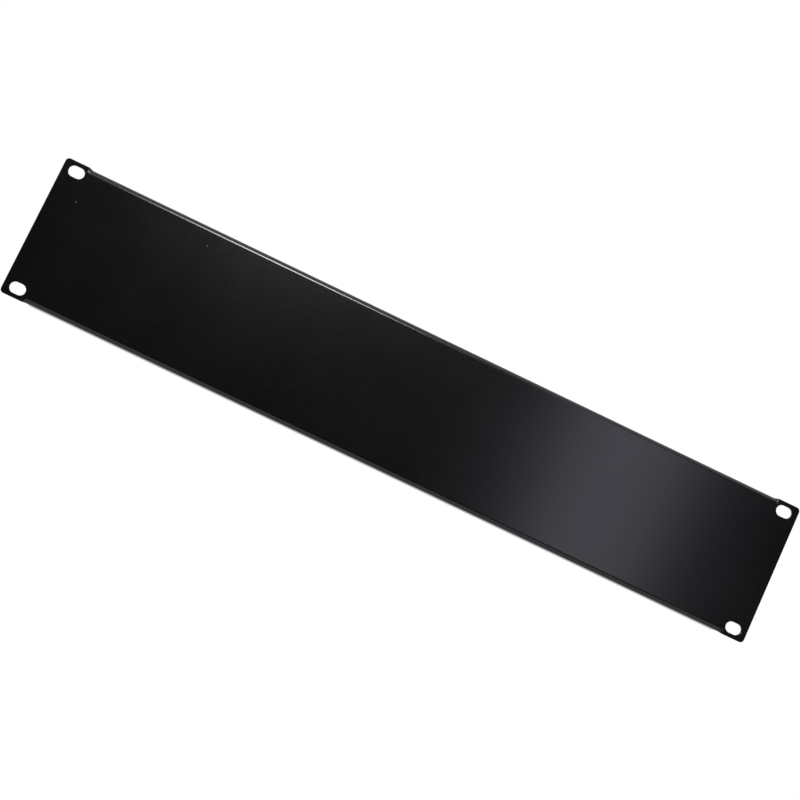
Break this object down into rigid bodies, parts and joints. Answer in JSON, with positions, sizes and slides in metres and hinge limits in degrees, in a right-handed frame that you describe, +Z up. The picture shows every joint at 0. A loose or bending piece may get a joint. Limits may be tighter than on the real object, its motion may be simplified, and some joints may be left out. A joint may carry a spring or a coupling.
{
  "type": "rack blanking panel",
  "caption": "Wide flat steel panel that covers empty space in an equipment rack, with slotted ears and its long edges folded back.",
  "frame": {"origin": "centre of the slot pattern, on the back of the sheet, which seats on the rack rails", "axes": "+X along the width, +Z up, front face towards -Y, flanges folded back towards +Y"},
  "size_m": [0.4826, 0.014, 0.0882],
  "materials": {
    "black_powder_coat": "satin, fine grained"
  },
  "bodies": {
    "root": {"blanking_panel": "black_powder_coat"}
  },
  "joints": []
}
